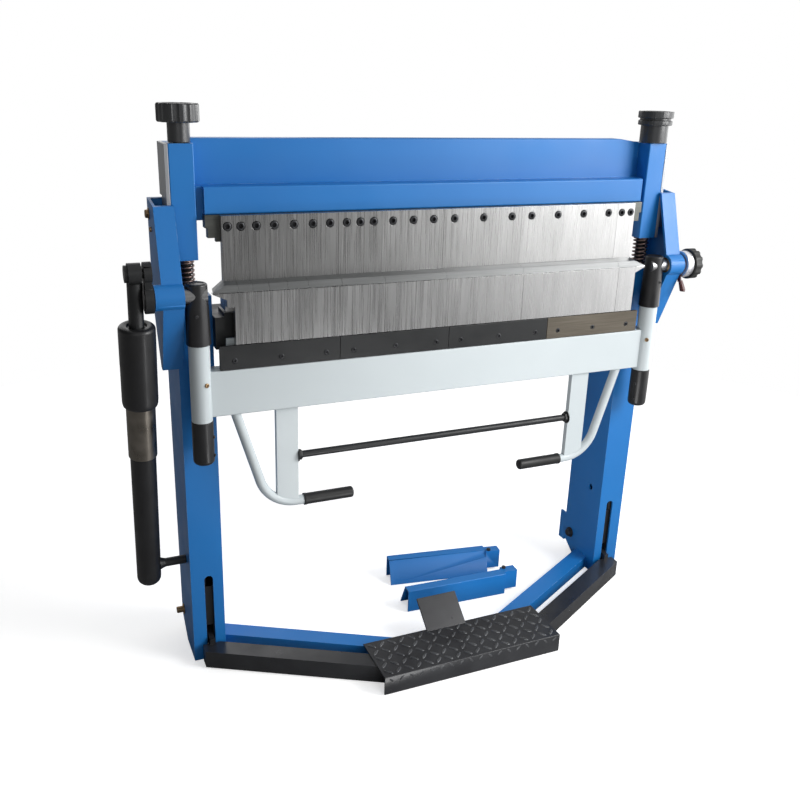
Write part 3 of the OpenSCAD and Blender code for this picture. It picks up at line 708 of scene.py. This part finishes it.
def make_knobs():
    """The left knob is a fluted disc on a stem, the right one a stem with a knurled flange and a cap."""
    for side, name in ((-1, "left"), (1, "right")):
        node = f"knob_{name}"
        low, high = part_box(node)
        origin = Vector((side * JOINTS["knob_right_turn"]["pos_m"][0], (low.y + high.y) / 2, 0))
        radius = (high.y - low.y) / 2
        bm = bmesh.new()
        if side < 0:
            turned(bm, origin, Z, rounded(low.z, LEFT_DISC + 4 * MM, 22 * MM, 1.5 * MM))
            flutes = fluted(12, 2.6 * MM, 0.30)

            def shape(r, along, angle):
                return flutes(r, along, angle) if r > 0.8 * radius else r
            rim = rounded(LEFT_DISC, high.z, radius, 4 * MM)
            rim += [(high.z, radius - 12 * MM), (high.z - 2.5 * MM, radius - 14 * MM),
                    (high.z - 2.5 * MM, 8 * MM)]
            turned(bm, origin, Z, rim, 216, shape)
            socket_head(bm, origin + Z * (high.z - 3.5 * MM), Z, 7 * MM, 3.4 * MM, 3.4 * MM)
        else:
            turned(bm, origin, Z, rounded(low.z, RIGHT_FLANGE[0] + 2 * MM, 33 * MM, 1.5 * MM), 96)
            steps = (rounded(*RIGHT_FLANGE, 40.5 * MM, 2.5 * MM) + rounded(*RIGHT_GROOVE, 37 * MM, 0.4 * MM)
                     + rounded(RIGHT_CAP, high.z, radius, 2.5 * MM)
                     + [(high.z, radius - 9 * MM), (high.z - 2 * MM, radius - 11 * MM)])
            turned(bm, origin, Z, steps, 144,
                   lambda r, along, a: r - (0.5 * MM if r > 39 * MM and math.sin(a * 60) > 0 else 0))
        # The knobs' lighter black is partly painted sheen.
        keep_mesh(f"{node}_turned", bm, node, ["knob_enamel_and_sheen"], [node], sharp=math.radians(38))


def make_return_springs():
    """Coils round the pull rods, from the column heads to the end boxes where the beam rests."""
    foot = JOINTS["beam_lift"]["deforming_nodes"][0]["fixed_end_z_m"]
    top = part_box("end_boxes")[0].z
    x, y = JOINTS["knob_right_turn"]["pos_m"][:2]
    wire, radius, turns, steps = 2.4 * MM, 16.5 * MM, 9, 28
    ground_turns = 0.8
    for side, name in ((-1, "left"), (1, "right")):
        bm = bmesh.new()
        points = []
        for i in range(turns * steps + 1):
            t = i / (turns * steps)
            rise = min(1, max(0, (t * turns - ground_turns) / (turns - 2 * ground_turns)))
            a = math.tau * turns * t
            points.append(Vector((side * x + radius * math.cos(a), y + radius * math.sin(a),
                                  foot + wire + (top - foot - 2 * wire) * rise)))
        swept(bm, points, wire, 12)
        piece = keep_mesh(f"return_spring_{name}", bm, None, ["spring_steel"],
                          ["return_springs"] if side < 0 else ())
        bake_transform(piece)


# ---- apron ----

def make_apron():
    refined("apron_beam", fold=2.5 * MM)
    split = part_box("clamp_bars")[0].x / 2
    refined("clamp_bars", fine=0.9 * MM, mats=["black_oxide", "brown_steel"],
            pick=lambda f: int(f.calc_center_median().x > -split))
    refined("truss_legs", fold=1.6 * MM, long_edge=0.05)
    refined("crank_arm", fine=1.6 * MM)
    NODES["pivot_shafts"].data.materials[0] = FINISH["bare_steel"]


# Radii of the tapered knuckles at foot and head, and the place of their small screw, out, forward and up in mm
KNUCKLE_FOOT, KNUCKLE_HEAD = 25.4 * MM, 22.4 * MM
KNUCKLE_SCREW = (6, -23.4, 860)


def make_end_columns():
    """End tubes, the black knuckles above them and the adjusters below."""
    low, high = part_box("end_tubes")
    y = (low.y + high.y) / 2
    radius = (high.y - low.y) / 2
    x = high.x - radius
    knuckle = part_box("knuckle_right")
    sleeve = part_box("lower_sleeves")
    small = (sleeve[1].y - sleeve[0].y) / 2
    tubes, sleeves = bmesh.new(), bmesh.new()
    for side in SIDES:
        axis_at = Vector((side * x, y, 0))
        turned(tubes, axis_at, Z, rounded(low.z, high.z, radius, 1 * MM, 3))
        foot = sleeve[0].z
        turned(sleeves, axis_at, Z, [(foot, small - 6 * MM), (foot + 1.5 * MM, small - 3.5 * MM),
                                     (foot + 5 * MM, small - 0.8 * MM)]
               + rounded(foot + 8 * MM, sleeve[1].z, small, 0.8 * MM, 3))
        bm = bmesh.new()
        top = knuckle[1].z
        bottom, foot_r, head_r = knuckle[0].z, KNUCKLE_FOOT, KNUCKLE_HEAD
        taper = [(bottom, foot_r - 1.5 * MM), (bottom + 1.5 * MM, foot_r), (top - 4 * MM, head_r)]
        crown = [(top - 1.6 * MM, head_r - 1.2 * MM), (top, head_r - 3.2 * MM), (top, head_r - 6.5 * MM),
                 (top - 1.5 * MM, head_r - 7.5 * MM), (top - 1.5 * MM, 5 * MM)]
        turned(bm, axis_at, Z, taper + crown, 96)
        out, forward, up = KNUCKLE_SCREW
        socket_head(bm, axis_at + Vector((side * out, forward, up)) * MM, -Y, 3.4 * MM, 1.6 * MM, 2 * MM)
        name = "left" if side < 0 else "right"
        keep_mesh(f"knuckle_{name}_turned", bm, "apron", ["black_enamel"], [f"knuckle_{name}"],
                  sharp=math.radians(60))
    keep_mesh("end_tubes_turned", tubes, "apron", ["white_paint"], ["end_tubes"])
    keep_mesh("adjusters_turned", sleeves, "apron", ["black_enamel"], ["lower_sleeves"])
    return x, y, radius, small


# Where the middles of the four clamp bars are, in bar lengths, and the three screws of each
BAR_MIDDLES = (-1.5, -0.5, 0.5, 1.5)
SCREW_SHARES = (-0.38, 0, 0.38)
# Heights of the screw in each end tube and of the two in each adjuster
TUBE_SCREW = 712 * MM
ADJUSTER_SCREWS = (592 * MM, 550 * MM)


def make_apron_screws(x, y, radius, small):
    """Socket screws of the clamp bars, end tubes and adjusters. x and y are the right tube's axis, radius is
    the tube's and small the adjuster's."""
    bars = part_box("clamp_bars")
    pitch = (bars[1].x - bars[0].x) / len(BAR_MIDDLES)
    z = (bars[0].z + bars[1].z) / 2 - 6.5 * MM
    brown, black = bmesh.new(), bmesh.new()
    for bar in BAR_MIDDLES:
        for share in SCREW_SHARES:
            seat = Vector(((bar + share) * pitch, bars[0].y + 4 * MM, z))
            socket_head(brown if bar > 1 else black, seat, -Y, 5.8 * MM, 4.4 * MM, 3 * MM)
    zinc = bmesh.new()
    for side in SIDES:
        ahead = Vector((-side * 0.41, -0.91, 0)).normalized()
        inwards = Vector((-side * 0.90, -0.44, 0)).normalized()
        screws = [(TUBE_SCREW, radius, zinc, 5 * MM, ahead)]
        screws += [(height, small, black, 3.4 * MM, inwards) for height in ADJUSTER_SCREWS]
        for height, r, bm, head, across in screws:
            seat = Vector((side * x, y, height)) + across * (r - 1.2 * MM)
            socket_head(bm, seat, across, head, 3.6 * MM, head * 0.5)
    keep_mesh("clamp_screws_black", black, "apron", ["black_bolts"], ["apron_screws"])
    keep_mesh("clamp_screws_right", brown, "apron", ["black_bolts"])
    keep_mesh("tube_screws", zinc, "apron", ["zinc_bolts"])


# The handle tubes: how far they lean outwards, the radius of their bend and its centre's distance from the
# machine's middle, and where the tube and its grip start and the tube's straight run ends
HANDLE_LEAN = math.radians(16.6)
HANDLE_BEND = 87 * MM
BEND_CENTRE = 363 * MM
GRIP_START, TUBE_START, TUBE_BEND = 225 * MM, 230 * MM, 300 * MM


def make_handles():
    """Bent tubes under the apron, each with a moulded grip."""
    for side, name in ((-1, "left"), (1, "right")):
        node = f"handle_{name}"
        low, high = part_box(node)
        r = (high.y - low.y) / 2 - 0.1 * MM
        y = (low.y + high.y) / 2
        z = low.z + r + 0.1 * MM
        elbow = Vector((BEND_CENTRE, y, z + HANDLE_BEND))
        points = [Vector((TUBE_START, y, z)), Vector((TUBE_BEND, y, z))]
        for k in range(25):
            a = (math.pi / 2 - HANDLE_LEAN) * k / 24
            points.append(elbow + Vector((HANDLE_BEND * math.sin(a), 0, -HANDLE_BEND * math.cos(a))))
        top = high.z - points[-1].z
        up = Vector((math.sin(HANDLE_LEAN), 0, math.cos(HANDLE_LEAN)))
        points += [points[-1] + up * (top / up.z * k / 6) for k in range(1, 7)]
        points = [Vector((side * p.x, p.y, p.z)) for p in points]
        bm = bmesh.new()
        swept(bm, points, r, 36)
        keep_mesh(f"{node}_tube", bm, "apron", ["white_paint"], [node])
    low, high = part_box("grips")
    r = (high.y - low.y) / 2
    y, z = (low.y + high.y) / 2, (low.z + high.z) / 2
    length = high.x - GRIP_START
    bm = bmesh.new()
    for side in SIDES:
        profile = rounded(0, length, r - 0.8 * MM, 5 * MM, 6, (True, False))
        profile[-1] = (length - 8 * MM, r - 0.8 * MM)
        profile += [(length - 6.5 * MM, r), (length - 1 * MM, r), (length, r - 1 * MM), (length, r - 3 * MM)]
        turned(bm, Vector((side * GRIP_START, y, z)), X * side, profile, 48)
    keep_mesh("grips_moulded", bm, "apron", ["black_plastic"], ["grips"])


def make_truss_rod():
    low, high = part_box("truss_rod")
    y, z = (low.y + high.y) / 2, (low.z + high.z) / 2
    leg_in = high.x
    bm = bmesh.new()
    turned(bm, Vector((-leg_in, y, z)), X, rounded(0, 2 * leg_in, 8 * MM, 0.5 * MM), 40)
    for side in SIDES:
        hex_head(bm, Vector((side * (leg_in - 0.2 * MM), y, z)), -X * side, 12.5 * MM, 8 * MM, 1.5 * MM)
    keep_mesh("truss_rod_turned", bm, "apron", ["black_oxide"], ["truss_rod"])


# ---- counterbalance ----

# The canister's foot pin from the crank's pin, straight down the canister at rest
FOOT_PIN = Vector((0, 110 * MM, 702 * MM)).length
COVER_R, COVER_BORE, ROD_HOLE = 36.8 * MM, 30.3 * MM, 15.4 * MM
TUBE_R, TUBE_BORE = 30 * MM, 27.2 * MM
BASE_R, BASE_BORE, BASE_FLOOR = 27 * MM, 24.6 * MM, 136 * MM
PIN_R = 10 * MM


def make_counterbalance():
    """A hollow cover on a hollow tube on a base with a rounded foot, and the pin that holds the foot."""
    refined("spring_rod", fine=1.2 * MM)
    NODES["inner_spring"].data.materials[0] = FINISH["spring_steel"]
    spans = {n: reach(n, CRANK_PIN, SPRING_AXIS) for n in ("spring_cover", "spring_tube", "spring_base")}
    foot, top = spans["spring_cover"]
    bm = bmesh.new()
    skirt = [(foot, COVER_BORE), (foot, COVER_R - 3.5 * MM), (foot + 1.5 * MM, COVER_R - 1.8 * MM),
             (foot + 6 * MM, COVER_R - 0.6 * MM)]
    dome = rounded(foot + 14 * MM, top - 0.5 * MM, COVER_R, 8 * MM, 7, (False, True))
    collar = [(top, 26 * MM), (top - 1 * MM, 20.5 * MM), (top - 4.5 * MM, 18 * MM), (top - 5 * MM, ROD_HOLE),
              (top - 12 * MM, ROD_HOLE), (top - 12 * MM, COVER_BORE)]
    turned(bm, CRANK_PIN, SPRING_AXIS, skirt + dome + collar, 96, closed=True)
    keep_mesh("cover_spun", bm, "spring_canister", ["black_enamel"], ["spring_cover"],
              sharp=math.radians(40))
    low, high = spans["spring_tube"]
    bm = bmesh.new()
    wall = [(low, TUBE_BORE)] + rounded(low, high, TUBE_R, 0.6 * MM, 2) + [(high, TUBE_BORE)]
    turned(bm, CRANK_PIN, SPRING_AXIS, wall, 96, closed=True)
    keep_mesh("tube_spun", bm, "spring_canister", ["bronze_grey"], ["spring_tube"])
    low, high = spans["spring_base"]
    bm = bmesh.new()
    turned(bm, CRANK_PIN, SPRING_AXIS, [(low, 10 * MM), (low, 14 * MM), (low + 1 * MM, 18 * MM),
                                        (low + 3.5 * MM, 21.8 * MM), (low + 7 * MM, 24.6 * MM),
                                        (low + 12 * MM, 26.5 * MM), (low + 17 * MM, BASE_R), (high, BASE_R),
                                        (high, BASE_BORE), (low + BASE_FLOOR, BASE_BORE)], 96)
    start = 25 * MM
    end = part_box("spring_base")[1].x - CRANK_PIN.x
    boss = [(start, 14.5 * MM), (start + 5 * MM, 12.6 * MM), (start + 11 * MM, PIN_R + 0.5 * MM)]
    pin = rounded(start + 13 * MM, end, PIN_R, 0.8 * MM, 2, (False, True))
    turned(bm, CRANK_PIN - SPRING_AXIS * FOOT_PIN, X, boss + pin, 40)
    keep_mesh("base_spun", bm, "spring_canister", ["black_enamel"], ["spring_base"])


# ---- angle stop ----

RING_BORE = 16 * MM
RING_TICKS = 72


def make_angle_stop():
    """The graduated ring and its lines, the lobed knob and the locking lever."""
    low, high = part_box("angle_ring")
    radius = (high.z - low.z) / 2
    at = Vector((0, BEND_LINE.y, BEND_LINE.z))
    bm = bmesh.new()
    inner = [(low.x, RING_BORE), (low.x, radius - 2 * MM), (low.x + 1.5 * MM, radius - 0.4 * MM)]
    outer = rounded(low.x + 2.5 * MM, high.x, radius, 1 * MM, 3, (False, True)) + [(high.x, RING_BORE)]
    turned(bm, at, X, inner + outer, 120, closed=True)
    keep_mesh("ring_turned", bm, "angle_ring", ["white_ring"], ["angle_ring"])
    bm = bmesh.new()
    for k in range(RING_TICKS):
        a = math.tau * k / RING_TICKS
        length = (9 if k % 6 == 0 else 6 if k % 3 == 0 else 4) * MM
        r, half = radius + 0.12 * MM, 0.35 * MM / radius
        corners = []
        for depth in (0.0, 0.5 * MM):
            for da, along in ((-half, 0), (half, 0), (half, length), (-half, length)):
                y, z = (r - depth) * math.cos(a + da), (r - depth) * math.sin(a + da)
                corners.append(bm.verts.new(at + Vector((high.x - 2 * MM - along, y, z))))
        top, base = corners[:4], corners[4:]
        bm.faces.new(top)
        bm.faces.new(list(reversed(base)))
        bridge(bm, base, top)
    keep_mesh("ring_ticks", bm, "angle_ring", ["tick_ink"])
    low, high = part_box("stop_knob")
    radius = (high.z - low.z) / 2
    lobes = fluted(12, 3.0 * MM, 0.32)

    def shape(r, along, angle):
        return lobes(r, along, angle) if r > 0.75 * radius and along > low.x + 5 * MM else r
    bm = bmesh.new()
    turned(bm, at, X, rounded(low.x, high.x, radius, 4 * MM, 5) + [(high.x, radius - 12 * MM),
           (high.x - 2 * MM, radius - 13.5 * MM), (high.x - 2 * MM, 9 * MM)], 216, shape)
    keep_mesh("stop_knob_moulded", bm, "stop_knob", ["black_plastic"], ["stop_knob"],
              sharp=math.radians(38))
    refined("lock_lever", fine=0.8 * MM)


# ---- pedal ----

def lens(bm, centre, along, up, length, width, height):
    """One raised bar of tread plate, pointed at both ends and rounded on top."""
    across = up.cross(along)
    count = 12
    rings = []
    for level, share in ((-0.3, 1.0), (0.35, 0.93), (0.8, 0.7), (1.0, 0.35)):
        ring = []
        for k in range(count):
            t = math.tau * k / count
            w = abs(math.sin(t)) ** 0.8 * math.copysign(1, math.sin(t)) * width / 2
            ring.append(bm.verts.new(centre + along * (math.cos(t) * length / 2 * (0.4 + 0.6 * share))
                                     + across * (w * share) + up * (height * level)))
        rings.append(ring)
    skin(bm, rings)


# Spacing, length, width and height of the tread's bars, and length, width and height of those on its front
BAR_PITCH = 25.5 * MM
TOP_BAR = (23 * MM, 7.5 * MM, 1.8 * MM)
FRONT_BAR = (14 * MM, 5 * MM, 0.9 * MM)


def make_pedal():
    refined("pedal_frame", fold=3 * MM, long_edge=0.05)
    refined("pedal_tread", fold=3.2 * MM)
    refined("toe_plate", fine=1.0 * MM)
    low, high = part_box("pedal_tread")
    bm = bmesh.new()
    columns = int((high.x - low.x) / BAR_PITCH)
    rows = int((high.y - low.y) / BAR_PITCH)
    start = Vector((-(columns - 1) * BAR_PITCH / 2, low.y + ((high.y - low.y) - (rows - 1) * BAR_PITCH) / 2,
                    high.z))
    for i in range(columns):
        for j in range(rows):
            turn = math.radians(45 if (i + j) % 2 else -45)
            along = Vector((math.cos(turn), math.sin(turn), 0))
            lens(bm, start + Vector((i, j, 0)) * BAR_PITCH, along, Z, *TOP_BAR)
        turn = math.radians(45 if i % 2 else -45)
        along = Vector((math.cos(turn), 0, math.sin(turn)))
        lens(bm, Vector((start.x + i * BAR_PITCH, low.y, high.z - 9 * MM)), along, -Y, *FRONT_BAR)
    # The bars' lighter black and light edges are partly wear, partly a painted highlight.
    keep_mesh("tread_bars", bm, "pedal", ["worn_bars_and_highlight"])


FINISH = make_finishes()
make_camera()
make_stage()
make_frame()
make_frame_bolts()
make_beam()
make_finger_bolts()
make_pull_rods()
make_knobs()
make_return_springs()
make_apron()
make_apron_screws(*make_end_columns())
make_handles()
make_truss_rod()
make_counterbalance()
make_angle_stop()
make_pedal()
